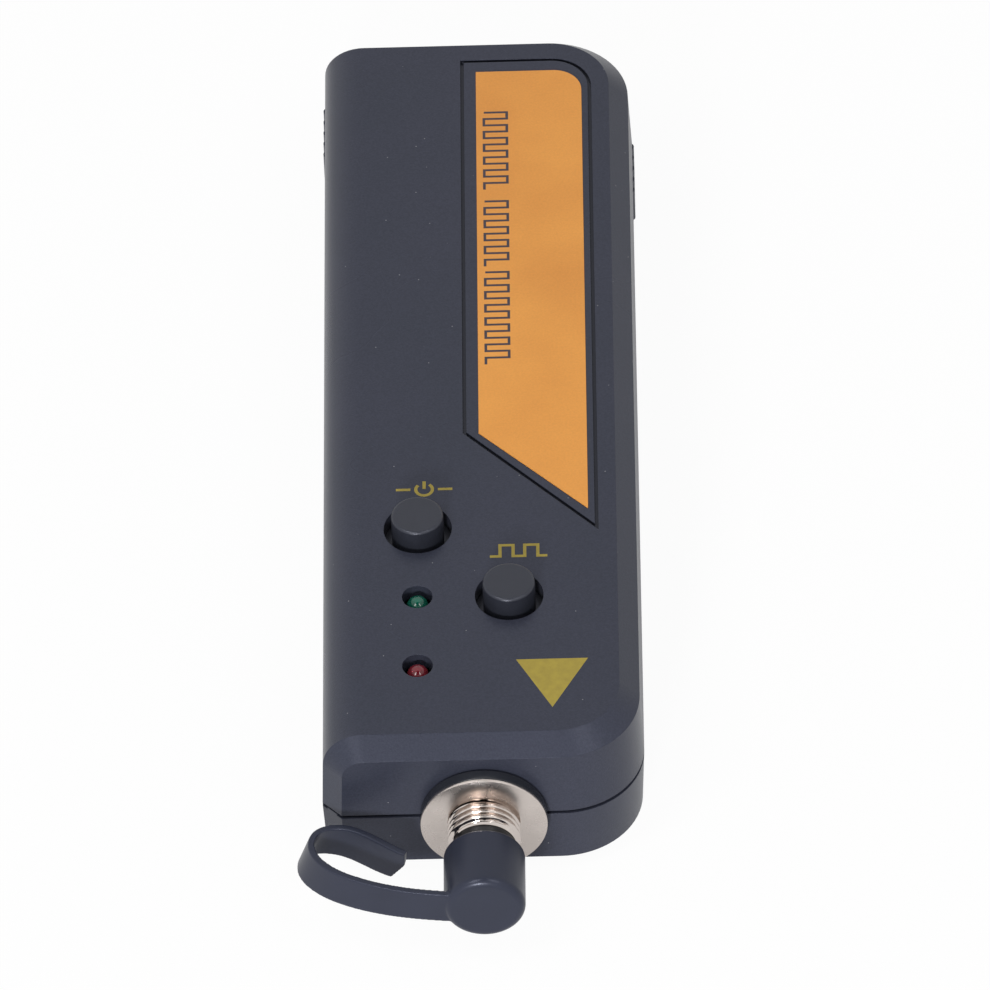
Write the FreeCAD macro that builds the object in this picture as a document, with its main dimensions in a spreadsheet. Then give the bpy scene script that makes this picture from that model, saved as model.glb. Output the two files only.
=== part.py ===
import FreeCAD, Part
import Sketcher
import math
import os
import re

# Visual fault locator: a charcoal housing in two halves with a slide-off battery cover, two latching
# push keys, two indicator LEDs, and a threaded laser port under a rubber dust cap with its strap.
# Frame: origin at the centre of the underside, nose towards -Y, +Z up, millimetres.
# Lengths named _y, _front, _rear and _end are measured back from the housing's front face, except on
# the port, where they are measured along its axis from that face, out to the nose or into the housing.

SIZES = [
    # housing: the two halves meet at the height of the port axis
    ("housing_length", 140.8), ("housing_width", 44.0), ("lower_height", 11.8), ("upper_height", 13.0),
    ("side_wall", 2.0), ("deck_wall", 2.2), ("wall_draft", 2.3), ("corner_radius", 11.3),
    ("roll_radius", 5.7), ("edge_bevel", 2.6), ("inner_edge", 3.0), ("inner_corner", 3.6),
    ("parting_bevel", 0.3), ("parting_gap", 0.3), ("parting_step", 0.7), ("cover_seam", 88.6),
    ("seam_gap", 0.2), ("cradle_step", 12.0),
    # posts and self-tapping screws
    ("post_x", 16.0), ("post_front", 9.4), ("post_rear", 73.0), ("post_radius", 2.6),
    ("screw_radius", 1.28), ("screw_pilot", 1.3), ("screw_way", 1.45), ("boss_radius", 3.6),
    ("head_radius", 2.2), ("head_height", 1.5), ("head_recess", 2.5), ("screw_length", 14.0),
    ("head_sink", 4.0), ("pilot_depth", 8.5),
    ("board_post_x", 10.6), ("board_post_front", 13.6), ("board_post_rear", 68.0),
    ("board_post_radius", 2.2), ("small_screw_radius", 0.93), ("small_screw_pilot", 0.95),
    ("small_head_radius", 1.8), ("small_head_height", 1.2), ("small_screw_length", 5.0),
    ("tray_post_front", 86.0), ("tray_post_rear", 127.0),
    # engraved panel and its label
    ("panel_left", -2.2), ("panel_right", 16.4), ("panel_rear", 134.6), ("panel_corner", 60.0),
    ("panel_tip", 40.8), ("panel_radius", 5.8), ("groove_width", 0.5), ("groove_depth", 0.5),
    ("label_left", 0.0), ("label_right", 15.0), ("label_rear", 132.0), ("label_corner", 59.9),
    ("label_tip", 44.9), ("label_radius", 4.0), ("label_thickness", 0.15),
    # keys, latching switches and LEDs
    ("power_key_x", -8.5), ("power_key_y", 41.8), ("mode_key_x", 4.0), ("mode_key_y", 28.7),
    ("key_well_radius", 4.7), ("key_radius", 3.6), ("key_stand", 2.8), ("key_height", 6.0),
    ("key_edge", 0.45), ("key_skirt_radius", 5.2), ("key_skirt_height", 0.8), ("stem_width", 3.0),
    ("stem_grip", 3.2), ("stem_hole", 3.16), ("stem_foot", 1.8), ("stem_hole_depth", 4.2),
    ("switch_width", 8.5), ("switch_height", 4.5),
    ("led_x", -8.6), ("power_led_y", 28.8), ("battery_led_y", 15.8), ("led_hole_radius", 2.1),
    ("led_radius", 1.55), ("led_height", 5.3), ("led_rim_radius", 1.9), ("led_rim_height", 1.0),
    ("led_sink", 0.4), ("led_lead", 0.5), ("led_lead_pitch", 2.54),
    # circuit board
    ("board_top", 15.0), ("board_thickness", 1.6), ("board_width", 26.4), ("board_front", 8.2),
    ("board_rear", 76.2), ("board_notch_width", 11.0), ("board_notch_end", 23.4), ("chip_y", 56.0),
    ("chip_length", 5.0), ("chip_width", 3.9), ("chip_height", 1.5), ("chip_span", 6.0),
    ("chip_lead_pitch", 1.27), ("chip_lead_width", 0.4), ("chip_lead_thickness", 0.2),
    ("chip_part_x", 7.0), ("chip_part_y", 45.4), ("chip_part_pitch", 4.0), ("chip_part_length", 2.0),
    ("chip_part_width", 1.25), ("chip_part_height", 0.6),
    # laser port
    ("collar_radius", 8.7), ("collar_thickness", 1.5), ("flange_radius", 8.68),
    ("flange_thickness", 0.5), ("thread_radius", 5.0), ("thread_end", 6.0), ("thread_lead", 0.5),
    ("port_hole_radius", 5.1), ("barrel_rear", 8.0), ("barrel_bore", 3.52), ("guide_radius", 4.2),
    ("guide_stem", 3.5), ("guide_end", 14.0), ("guide_rear", 4.0), ("guide_lip", 1.1),
    ("guide_bore", 1.5), ("sleeve_radius", 1.6), ("sleeve_play", 0.02), ("sleeve_bore", 1.25),
    ("sleeve_length", 11.4), ("nut_width", 12.0), ("nut_thickness", 3.0), ("laser_radius", 4.5),
    ("laser_front", 4.2), ("laser_rear", 22.0), ("beam_radius", 1.2), ("lens_radius", 2.3),
    ("lens_front", 8.6), ("lens_thickness", 2.2), ("lens_curve", 3.4), ("can_radius", 2.35),
    ("can_front", 13.6), ("rim_front", 17.4), ("rim_radius", 2.8), ("rim_thickness", 1.2),
    ("pin_radius", 0.22), ("pin_circle", 1.27), ("pin_length", 7.0), ("bore_play", 0.05),
    # dust cap and strap
    ("cap_radius", 5.55), ("cap_mouth", 8.0), ("cap_end", 17.7), ("cap_wall", 1.6),
    ("cap_play", 0.04), ("cap_edge", 1.1), ("strap_width", 5.2), ("strap_thickness", 0.9),
    ("clip_width", 1.9), ("clip_height", 4.2), ("clip_overlap", 0.1), ("clip_past", 1.0),
    ("clip_reach", 3.0),
    # battery bay
    ("cell_radius", 7.15), ("cell_length", 50.5), ("nub_radius", 2.65), ("nub_length", 1.0),
    ("cell_x", 7.7), ("cell_height", 11.0), ("tray_front", 77.5), ("tray_rear", 135.9),
    ("tray_half_width", 16.6), ("tray_wall", 1.4), ("tray_rib", 0.8), ("tray_top", 20.2),
    ("tray_roof", 1.6), ("tray_foot", 4.4), ("ledge_width", 2.2), ("ledge_height", 4.8),
    ("ledge_thickness", 1.2), ("ledge_rear", 125.0), ("rail_gap", 0.2), ("rail_thickness", 1.2),
    ("rail_reach", 17.3), ("tongue_width", 22.0), ("tongue_length", 4.0), ("tongue_thickness", 0.9),
    ("contact_thickness", 0.4), ("contact_size", 9.0), ("contact_tab", 3.0), ("link_width", 24.4),
    ("leaf_thickness", 0.3), ("leaf_reach", 4.0), ("leaf_crown", 0.8), ("leaf_lip", 1.6),
    ("leaf_width", 5.0),
    ("grip_pitch", 2.2), ("grip_radius", 0.75), ("grip_count", 5), ("grip_left_rear", 138.6),
    ("grip_right_rear", 129.8), ("grip_low", 6.0), ("grip_stand", 0.35), ("grip_lean", 0.12),
]
ALIASES = {alias for alias, number in SIZES}

FRONT = "-housing_length / 2"
DECK = "(lower_height + upper_height)"
CEILING = "(lower_height + upper_height - deck_wall)"

doc = FreeCAD.newDocument("VisualFaultLocator")
sizes = doc.addObject("Spreadsheet::Sheet", "Sizes")


def fill_sheet():
    for row, (alias, number) in enumerate(SIZES, start=1):
        sizes.set("A%d" % row, alias)
        sizes.set("B%d" % row, str(number))
        sizes.setAlias("B%d" % row, alias)
    doc.recompute()


def bound(expression):
    """An expression with the sheet's name before each of its aliases."""
    def full(word):
        return "Sizes." + word.group() if word.group() in ALIASES else word.group()
    return re.sub(r"[a-z][a-z_]+", full, expression)


def value(expression):
    return float(sizes.evalExpression(bound(expression)))


def back(distance):
    """Y of a place that lies this far behind the front face."""
    return "(%s - housing_length / 2)" % distance


# ---- sketches ----------------------------------------------------------------------------------

def new_body(label):
    body = doc.addObject("PartDesign::Body", label)
    body.Label = label
    return body


def sketch_on(body, role, across="0", up="0", lift="0"):
    """A sketch on an origin plane of its own body, shifted in that plane and lifted off it."""
    sketch = body.newObject("Sketcher::SketchObject", body.Label + "_sketch")
    plane = [item for item in body.Origin.OriginFeatures if item.Role == role][0]
    sketch.AttachmentSupport = (plane, "")
    sketch.MapMode = "FlatFace"
    for axis, expression in (("x", across), ("y", up), ("z", lift)):
        sketch.setExpression("AttachmentOffset.Base." + axis, bound(expression))
    return sketch


def port_sketch(body):
    """Sketch of a half section: x runs back from the front face, y is the distance off the axis."""
    return sketch_on(body, "YZ_Plane", across=FRONT, up="lower_height")


def hold(sketch, kind, references, expression):
    number = sketch.addConstraint(Sketcher.Constraint(kind, *references, value(expression)))
    sketch.setExpression("Constraints[%d]" % number, bound(expression))


def hold_point(sketch, geometry, end, point):
    hold(sketch, "DistanceX", (-1, 1, geometry, end), point[0])
    hold(sketch, "DistanceY", (-1, 1, geometry, end), point[1])


def spot(point):
    return FreeCAD.Vector(value(point[0]), value(point[1]), 0)


def moved_towards(corner, target, distance):
    """The expressions of a place on the square side that runs from a corner to the next one."""
    gap = [value(target[axis]) - value(corner[axis]) for axis in (0, 1)]
    axis = 0 if abs(gap[0]) > abs(gap[1]) else 1
    place = list(corner[:2])
    place[axis] = "(%s %s %s)" % (place[axis], "+" if gap[axis] > 0 else "-", distance)
    return tuple(place)


def add_polygon(sketch, points):
    """A closed outline whose corners are bound to the sheet, anticlockwise where it has round corners.
    A corner given as (x, y, radius) lies between two square sides and is rounded."""
    first = sketch.GeometryCount
    runs = []
    for index, point in enumerate(points):
        if len(point) == 2:
            runs.append((point, None))
            continue
        enter = moved_towards(point, points[index - 1], point[2])
        leave = moved_towards(point, points[(index + 1) % len(points)], point[2])
        runs += [(enter, (spot(enter) + spot(leave) - spot(point), point[2])), (leave, None)]
    for index, (point, bend) in enumerate(runs):
        onward = runs[(index + 1) % len(runs)][0]
        if bend is None:
            sketch.addGeometry(Part.LineSegment(spot(point), spot(onward)), False)
            continue
        centre, radius = bend
        angles = [math.atan2(*(spot(end) - centre)[1::-1]) for end in (point, onward)]
        circle = Part.Circle(centre, FreeCAD.Vector(0, 0, 1), value(radius))
        sketch.addGeometry(Part.ArcOfCircle(circle, *angles), False)
        hold(sketch, "Radius", (first + index,), radius)
    for index, (point, bend) in enumerate(runs):
        joined = (first + index, 2, first + (index + 1) % len(runs), 1)
        sketch.addConstraint(Sketcher.Constraint("Coincident", *joined))
        hold_point(sketch, first + index, 1, point)
    return sketch


def add_box(sketch, left, front, right, rear):
    return add_polygon(sketch, [(left, front), (right, front), (right, rear), (left, rear)])


def add_circle(sketch, centre, radius):
    number = sketch.GeometryCount
    sketch.addGeometry(Part.Circle(spot(centre), FreeCAD.Vector(0, 0, 1), value(radius)), False)
    hold_point(sketch, number, 3, centre)
    hold(sketch, "Radius", (number,), radius)
    return sketch


def add_panel(sketch, left, right, rear, corner, tip, radius):
    """The label's outline: square at the rear left, round at the rear right, slanted to a sharp tip."""
    return add_polygon(sketch, [(left, back(corner)), (right, back(tip)), (right, back(rear), radius),
                                (left, back(rear))])


# ---- features ----------------------------------------------------------------------------------

def volume(body):
    return body.Tip.Shape.Volume if body.Tip else 0.0


def pad(body, sketch, length, down=False, both=False):
    feature = body.newObject("PartDesign::Pad", body.Label + "_pad")
    feature.Profile = sketch
    feature.setExpression("Length", bound(length))
    feature.Reversed = down
    feature.SideType = "Symmetric" if both else "One side"
    doc.recompute()
    return feature


def pocket(body, sketch, length, up=False, both=False):
    """Cuts below the sketch, above it or to both sides, and makes sure that something came off."""
    before = volume(body)
    feature = body.newObject("PartDesign::Pocket", body.Label + "_pocket")
    feature.Profile = sketch
    feature.setExpression("Length", bound(length))
    feature.Reversed = up
    feature.SideType = "Symmetric" if both else "One side"
    doc.recompute()
    if volume(body) > before - 0.01:
        raise RuntimeError("a pocket cuts nothing in " + body.Label)
    return feature


def revolve(body, sketch):
    feature = body.newObject("PartDesign::Revolution", body.Label + "_turned")
    feature.Profile = sketch
    feature.ReferenceAxis = (sketch, ["H_Axis"])
    feature.Angle = 360
    doc.recompute()
    return feature


def edges_where(body, test):
    return ["Edge%d" % number for number, edge in enumerate(body.Tip.Shape.Edges, start=1) if test(edge)]


def round_edges(body, test, radius):
    names = edges_where(body, test)
    feature = body.newObject("PartDesign::Fillet", body.Label + "_round")
    feature.Base = (previous(body, feature), names)
    feature.setExpression("Radius", bound(radius))
    doc.recompute()
    return feature


def bevel_edges(body, test, width):
    names = edges_where(body, test)
    feature = body.newObject("PartDesign::Chamfer", body.Label + "_bevel")
    feature.Base = (previous(body, feature), names)
    feature.setExpression("Size", bound(width))
    doc.recompute()
    return feature


def previous(body, feature):
    solids = [item for item in body.Group if item.isDerivedFrom("PartDesign::Feature")]
    return solids[solids.index(feature) - 1]


def draft_walls(body, base, down):
    """Leans the side walls in, away from the parting plane, so that the half leaves its mould."""
    level = value("lower_height")
    numbered = list(enumerate(base.Shape.Faces, start=1))
    walls = ["Face%d" % number for number, face in numbered if abs(face.normalAt(0, 0).z) < 0.1]
    flat = ["Face%d" % number for number, face in numbered if near(face.BoundBox, level)]
    feature = body.newObject("PartDesign::Draft", body.Label + "_draft")
    feature.Base = (base, walls)
    feature.NeutralPlane = (base, flat)
    feature.Reversed = down
    feature.setExpression("Angle", bound("wall_draft"))
    doc.recompute()
    return feature


def near(box, level):
    return abs(box.ZMin - level) < 0.001 and abs(box.ZMax - level) < 0.001


# ---- housing -----------------------------------------------------------------------------------

def step_back(body):
    """Lowers the outer part of a lower half's rim, which leaves a shadow gap along the parting line."""
    left, right = "(parting_step - housing_width / 2)", "(housing_width / 2 - parting_step)"
    front, rear = back("parting_step"), "(housing_length / 2 - parting_step)"
    radius = "(corner_radius - parting_step)"
    rim = sketch_on(body, "XY_Plane", lift="lower_height")
    add_box(rim, "-housing_width", "-housing_length", "housing_width", "housing_length")
    add_polygon(rim, [(left, front), (right, front, radius), (right, rear, radius), (left, rear)])
    pocket(body, rim, "parting_gap")


def housing_half(label, upper):
    """One half of the housing: draughted walls, two round corners on the right, a rolled left edge,
    a bevel right round the outer face and a small one along the parting line, then hollowed."""
    height = "upper_height" if upper else "lower_height"
    outer_level = value(DECK) if upper else 0.0
    parting_level = value("lower_height")
    body = new_body(label)
    outline = sketch_on(body, "XY_Plane", lift="lower_height")
    add_box(outline, "-housing_width / 2", FRONT, "housing_width / 2", "housing_length / 2")
    draft_walls(body, pad(body, outline, height, down=not upper), down=not upper)

    def upright(edge):
        return edge.BoundBox.ZLength > 5 and edge.BoundBox.XMin > 0

    def left_edge(edge):
        return near(edge.BoundBox, outer_level) and edge.BoundBox.XMax < 0 < edge.BoundBox.YMax

    def right_edge(edge):
        return near(edge.BoundBox, outer_level) and edge.BoundBox.XMin > value("corner_radius")

    round_edges(body, upright, "corner_radius")
    round_edges(body, left_edge, "roll_radius")
    bevel_edges(body, right_edge, "edge_bevel")
    if upper:
        bevel_edges(body, lambda edge: near(edge.BoundBox, parting_level), "parting_bevel")
    else:
        step_back(body)

    cavity = sketch_on(body, "XY_Plane", lift="lower_height")
    left, right = "(side_wall - housing_width / 2)", "(housing_width / 2 - side_wall)"
    front, rear = back("side_wall"), "(housing_length / 2 - side_wall)"
    large, small = "(corner_radius - side_wall)", "inner_corner"
    add_polygon(cavity, [(left, front, small), (right, front, large), (right, rear, large),
                         (left, rear, small)])
    pocket(body, cavity, height + " - deck_wall", up=upper)
    inner_level = value(CEILING) if upper else value("deck_wall")
    round_edges(body, lambda edge: near(edge.BoundBox, inner_level), "inner_edge")
    port = sketch_on(body, "XZ_Plane", lift="housing_length / 2")
    add_circle(port, ("0", "lower_height"), "port_hole_radius")
    if label != "battery_cover":
        pocket(body, port, "4 * side_wall", both=True)
    return body


def four_posts():
    return [(side + "post_x", back(place)) for place in ("post_front", "post_rear") for side in ("", "-")]


def board_posts():
    return [("board_post_x", back("board_post_front")), ("board_post_x", back("board_post_rear")),
            ("-board_post_x", back("board_post_rear"))]


def tray_posts():
    return [("0", back("tray_post_front")), ("0", back("tray_post_rear"))]


def add_posts(body, places, radius, level, length, hole, depth):
    """Round posts that hang from the ceiling down to a level, each with a blind screw hole."""
    posts = sketch_on(body, "XY_Plane", lift=level)
    holes = sketch_on(body, "XY_Plane", lift=level)
    for place in places:
        add_circle(posts, place, radius)
        add_circle(holes, place, hole)
    pad(body, posts, length)
    pocket(body, holes, depth, up=True)


def make_top_shell():
    body = housing_half("top_shell", upper=True)
    add_posts(body, four_posts(), "post_radius", "lower_height",
              "upper_height - deck_wall / 2", "screw_pilot", "pilot_depth")
    add_posts(body, board_posts(), "board_post_radius", "board_top",
              CEILING + " + deck_wall / 2 - board_top", "small_screw_pilot", "small_screw_length")
    add_posts(body, tray_posts(), "board_post_radius", "tray_top",
              CEILING + " + deck_wall / 2 - tray_top", "small_screw_pilot", CEILING + " - tray_top")
    openings = sketch_on(body, "XY_Plane", lift=DECK)
    add_circle(openings, ("power_key_x", back("power_key_y")), "key_well_radius")
    add_circle(openings, ("mode_key_x", back("mode_key_y")), "key_well_radius")
    add_circle(openings, ("led_x", back("power_led_y")), "led_hole_radius")
    add_circle(openings, ("led_x", back("battery_led_y")), "led_hole_radius")
    pocket(body, openings, "2 * deck_wall")
    # the groove is as wide square to its slanted side as elsewhere, so its two ends there move apart
    groove = sketch_on(body, "XY_Plane", lift=DECK)
    add_panel(groove, "panel_left", "panel_right", "panel_rear", "panel_corner", "panel_tip",
              "panel_radius")
    add_panel(groove, "(panel_left + groove_width)", "(panel_right - groove_width)",
              "(panel_rear - groove_width)", "(panel_corner + 0.4 * groove_width)",
              "(panel_tip + 2.4 * groove_width)", "(panel_radius - groove_width)")
    pocket(body, groove, "groove_depth")
    return body


def make_bottom_shell():
    """The front part of the lower half, with screw bosses and two cradles under the laser module."""
    body = housing_half("bottom_shell", upper=False)
    behind = sketch_on(body, "XY_Plane", lift="lower_height + deck_wall")
    add_box(behind, "-housing_width", back("(cover_seam - seam_gap / 2)"), "housing_width",
            "housing_length")
    pocket(body, behind, "2 * lower_height")
    bosses = sketch_on(body, "XY_Plane", lift="deck_wall / 2")
    ways = sketch_on(body, "XY_Plane", lift="lower_height")
    recesses = sketch_on(body, "XY_Plane")
    for place in four_posts():
        add_circle(bosses, place, "boss_radius")
        add_circle(ways, place, "screw_way")
        add_circle(recesses, place, "head_recess")
    pad(body, bosses, "lower_height - deck_wall / 2")
    pocket(body, ways, "2 * lower_height")
    pocket(body, recesses, "head_sink", up=True)
    for place in ("(laser_front + cradle_step)", "(laser_rear - side_wall)"):
        cradle = sketch_on(body, "XY_Plane", lift="deck_wall / 2")
        add_box(cradle, "-laser_radius - side_wall", back(place + " - side_wall / 2"),
                "laser_radius + side_wall", back(place + " + side_wall / 2"))
        pad(body, cradle, "lower_height - deck_wall / 2")
    seat = sketch_on(body, "XZ_Plane", lift="housing_length / 2 - barrel_rear")
    add_circle(seat, ("0", "lower_height"), "laser_radius + bore_play")
    pocket(body, seat, "laser_rear", up=False)
    return body


def make_battery_cover():
    """The rear part of the lower half. Rails inside its walls ride on the tray's ledges, a tongue
    reaches over the bottom shell's edge, and grip ribs stand on both sides near the back."""
    body = housing_half("battery_cover", upper=False)
    ahead = sketch_on(body, "XY_Plane", lift="lower_height + deck_wall")
    add_box(ahead, "-housing_width", "-housing_length", "housing_width",
            back("(cover_seam + seam_gap / 2)"))
    pocket(body, ahead, "2 * lower_height")
    rails = sketch_on(body, "XY_Plane", lift="ledge_height + ledge_thickness + rail_gap")
    for side in ("", "-"):
        reach = [side + "rail_reach", side + "(housing_width / 2 - side_wall / 2)"]
        low, high = sorted(reach, key=value)
        add_box(rails, low, back("(cover_seam + seam_gap)"), high, back("ledge_rear"))
    pad(body, rails, "rail_thickness")
    tongue = sketch_on(body, "XY_Plane", lift="deck_wall + rail_gap / 2")
    add_box(tongue, "-tongue_width / 2", back("(cover_seam - tongue_length)"), "tongue_width / 2",
            back("(cover_seam + tongue_length)"))
    pad(body, tongue, "tongue_thickness")
    root = sketch_on(body, "XY_Plane", lift="deck_wall / 2")
    add_box(root, "-tongue_width / 2", back("(cover_seam + seam_gap)"), "tongue_width / 2",
            back("(cover_seam + tongue_length)"))
    pad(body, root, "deck_wall / 2 + rail_gap / 2")
    ribs = sketch_on(body, "XY_Plane", lift="grip_low")
    face = "(housing_width / 2 + grip_stand - grip_radius - grip_lean)"
    for index in range(int(value("grip_count"))):
        step = "(%d * grip_pitch)" % index
        add_circle(ribs, ("-" + face, back("(grip_left_rear - %s)" % step)), "grip_radius")
        add_circle(ribs, (face, back("(grip_right_rear - %s)" % step)), "grip_radius")
    pad(body, ribs, "lower_height - grip_low - parting_gap")
    return body


def make_label():
    body = new_body("orange_label")
    outline = sketch_on(body, "XY_Plane", lift=DECK)
    add_panel(outline, "label_left", "label_right", "label_rear", "label_corner", "label_tip",
              "label_radius")
    pad(body, outline, "label_thickness")
    return body


# ---- keys, switches and LEDs ---------------------------------------------------------------------

def square(sketch, place, width):
    across, along = place
    half = " %s (" + width + ") / 2"
    return add_box(sketch, across + half % "-", along + half % "-", across + half % "+",
                   along + half % "+")


def make_key(label, place):
    """A round cap, its upper edge softened, with a skirt that keeps it under the deck and a square
    socket that grips the switch's stem."""
    body = new_body(label)
    foot = DECK + " + key_stand - key_height"
    pad(body, add_circle(sketch_on(body, "XY_Plane", lift=foot), place, "key_radius"), "key_height")
    top = value(DECK + " + key_stand")
    round_edges(body, lambda edge: near(edge.BoundBox, top), "key_edge")
    skirt = sketch_on(body, "XY_Plane", lift=foot)
    pad(body, add_circle(skirt, place, "key_skirt_radius"), "key_skirt_height")
    socket = sketch_on(body, "XY_Plane", lift=foot)
    pocket(body, square(socket, place, "stem_width"), "stem_grip", up=True)
    return body


def make_switch_body(label, place):
    """A latching switch's box on the board, with a square way for its stem."""
    body = new_body(label)
    box = sketch_on(body, "XY_Plane", lift="board_top")
    pad(body, square(box, place, "switch_width"), "switch_height")
    crown = value("board_top + switch_height")
    bevel_edges(body, lambda edge: near(edge.BoundBox, crown), "key_edge")
    way = sketch_on(body, "XY_Plane", lift="board_top + switch_height")
    pocket(body, square(way, place, "stem_hole"), "stem_hole_depth")
    return body


def make_stem(label, place):
    body = new_body(label)
    foot = "board_top + switch_height - stem_foot"
    shaft = sketch_on(body, "XY_Plane", lift=foot)
    length = DECK + " + key_stand - key_height + stem_grip - (" + foot + ")"
    pad(body, square(shaft, place, "stem_width"), length)
    return body


def make_led(label, place):
    """A 3 mm lamp: rim, round body with a full dome, and two square leads down to the board."""
    body = new_body(label)
    foot = DECK + " - led_sink - led_height"
    pad(body, add_circle(sketch_on(body, "XY_Plane", lift=foot), place, "led_radius"), "led_height")
    crown = value(DECK + " - led_sink")
    round_edges(body, lambda edge: near(edge.BoundBox, crown), "led_radius - 0.01")
    pad(body, add_circle(sketch_on(body, "XY_Plane", lift=foot), place, "led_rim_radius"),
        "led_rim_height")
    leads = sketch_on(body, "XY_Plane", lift="board_top")
    for side in ("-", "+"):
        square(leads, (place[0], place[1] + side + "led_lead_pitch / 2"), "led_lead")
    pad(body, leads, foot + " - board_top")
    return body


# ---- circuit board -------------------------------------------------------------------------------

def make_board():
    body = new_body("circuit_board")
    outline = sketch_on(body, "XY_Plane", lift="board_top - board_thickness")
    side, slot = "board_width / 2", "board_notch_width / 2"
    add_polygon(outline, [("-" + side, back("board_front")), ("-" + slot, back("board_front")),
                          ("-" + slot, back("board_notch_end")), (slot, back("board_notch_end")),
                          (slot, back("board_front")), (side, back("board_front")),
                          (side, back("board_rear")), ("-" + side, back("board_rear"))])
    pad(body, outline, "board_thickness")
    holes = sketch_on(body, "XY_Plane", lift="board_top")
    for place in board_posts():
        add_circle(holes, place, "small_screw_radius + 0.2")
    pocket(body, holes, "board_thickness")
    return body


def make_driver_chip():
    """A small-outline chip on the underside of the board: moulded block and eight flat leads."""
    body = new_body("driver_chip")
    level = "board_top - board_thickness"
    block = sketch_on(body, "XY_Plane", lift=level)
    add_box(block, "-chip_width / 2", back("chip_y"), "chip_width / 2", back("(chip_y + chip_length)"))
    pad(body, block, "chip_height", down=True)
    leads = sketch_on(body, "XY_Plane", lift=level)
    for index in range(4):
        middle = "(chip_y + chip_length / 2 + %g * chip_lead_pitch)" % (index - 1.5)
        add_box(leads, "-chip_span / 2", back(middle + " - chip_lead_width / 2"), "chip_span / 2",
                back(middle + " + chip_lead_width / 2"))
    pad(body, leads, "chip_lead_thickness", down=True)
    return body


# ---- laser port ----------------------------------------------------------------------------------

def make_turned(label, profile):
    body = new_body(label)
    revolve(body, add_polygon(port_sketch(body), profile))
    return body


def make_port():
    face = "-collar_thickness"
    flange = "-(collar_thickness + flange_thickness)"
    collar = make_turned("nose_collar", [
        (face, "port_hole_radius"), (face, "collar_radius"), ("0", "collar_radius"),
        ("0", "port_hole_radius")])
    barrel = make_turned("adapter_barrel", [
        ("-thread_end", "barrel_bore"), ("-thread_end", "thread_radius - thread_lead"),
        ("thread_lead - thread_end", "thread_radius"), (flange, "thread_radius"),
        (flange, "flange_radius"), (face, "flange_radius"), (face, "thread_radius"),
        ("barrel_rear", "thread_radius"), ("barrel_rear", "barrel_bore")])
    shoulder = "guide_lip - guide_end"
    sleeve_back = "(guide_lip - guide_end + sleeve_length)"
    guide = make_turned("ferrule_guide", [
        ("-guide_end", "guide_bore + thread_lead"), ("-guide_end", "guide_radius - thread_lead"),
        ("thread_lead - guide_end", "guide_radius"), ("-thread_end", "guide_radius"),
        ("-thread_end", "guide_stem"), ("guide_rear", "guide_stem"), ("guide_rear", "guide_bore"),
        (sleeve_back, "guide_bore"), (sleeve_back, "sleeve_radius + sleeve_play"),
        (shoulder, "sleeve_radius + sleeve_play"), (shoulder, "guide_bore"),
        ("thread_lead - guide_end", "guide_bore")])
    sleeve = make_turned("ferrule_sleeve", [
        (shoulder, "sleeve_bore"), (shoulder, "sleeve_radius"), (sleeve_back, "sleeve_radius"),
        (sleeve_back, "sleeve_bore")])
    return [collar, barrel, guide, sleeve]


def make_nut():
    """A hexagon nut on the rear thread, against the inside of the front wall."""
    body = new_body("barrel_nut")
    outline = sketch_on(body, "XZ_Plane", lift="housing_length / 2 - side_wall", up="lower_height")
    across = "(nut_width / sqrt(3))"
    corners = [("%s * cos(%d deg)" % (across, turn), "%s * sin(%d deg)" % (across, turn))
               for turn in range(0, 360, 60)]
    add_polygon(outline, corners)
    add_circle(outline, ("0", "0"), "thread_radius + sleeve_play")
    pad(body, outline, "nut_thickness", down=True)
    return body


def make_laser():
    barrel = make_turned("laser_barrel", [
        ("laser_front", "beam_radius"), ("laser_front", "barrel_bore - sleeve_play"),
        ("barrel_rear", "barrel_bore - sleeve_play"), ("barrel_rear", "laser_radius"),
        ("laser_rear", "laser_radius"), ("laser_rear", "rim_radius + bore_play"),
        ("rim_front", "rim_radius + bore_play"), ("rim_front", "can_radius + bore_play"),
        ("lens_front", "can_radius + bore_play"), ("lens_front", "beam_radius")])
    diode = make_turned("laser_diode", [
        ("can_front", "0"), ("can_front", "can_radius"), ("rim_front", "can_radius"),
        ("rim_front", "rim_radius"), ("rim_front + rim_thickness", "rim_radius"),
        ("rim_front + rim_thickness", "0")])
    pins = sketch_on(diode, "XZ_Plane", up="lower_height",
                     lift="housing_length / 2 - rim_front - rim_thickness")
    for turn in (90, 210, 330):
        place = ("pin_circle * cos(%d deg)" % turn, "pin_circle * sin(%d deg)" % turn)
        add_circle(pins, place, "pin_radius")
    pad(diode, pins, "pin_length", down=True)
    return [barrel, diode]


def make_lens():
    """A plano-convex lens: a short cylinder met by a ball whose far side is the curved face."""
    disc = doc.addObject("Part::Cylinder", "lens_disc")
    disc.setExpression("Radius", bound("lens_radius"))
    disc.setExpression("Height", bound("lens_thickness"))
    disc.Placement = FreeCAD.Placement(spot(("0", "0")), FreeCAD.Rotation(FreeCAD.Vector(1, 0, 0), -90))
    ball = doc.addObject("Part::Sphere", "lens_ball")
    ball.setExpression("Radius", bound("lens_curve"))
    for piece, along in ((disc, "lens_front"), (ball, "(lens_front + lens_thickness - lens_curve)")):
        piece.setExpression("Placement.Base.y", bound(back(along)))
        piece.setExpression("Placement.Base.z", bound("lower_height"))
    lens = doc.addObject("Part::Common", "focus_lens")
    lens.Base = disc
    lens.Tool = ball
    lens.Label = "focus_lens"
    return lens


# ---- dust cap ------------------------------------------------------------------------------------

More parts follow.
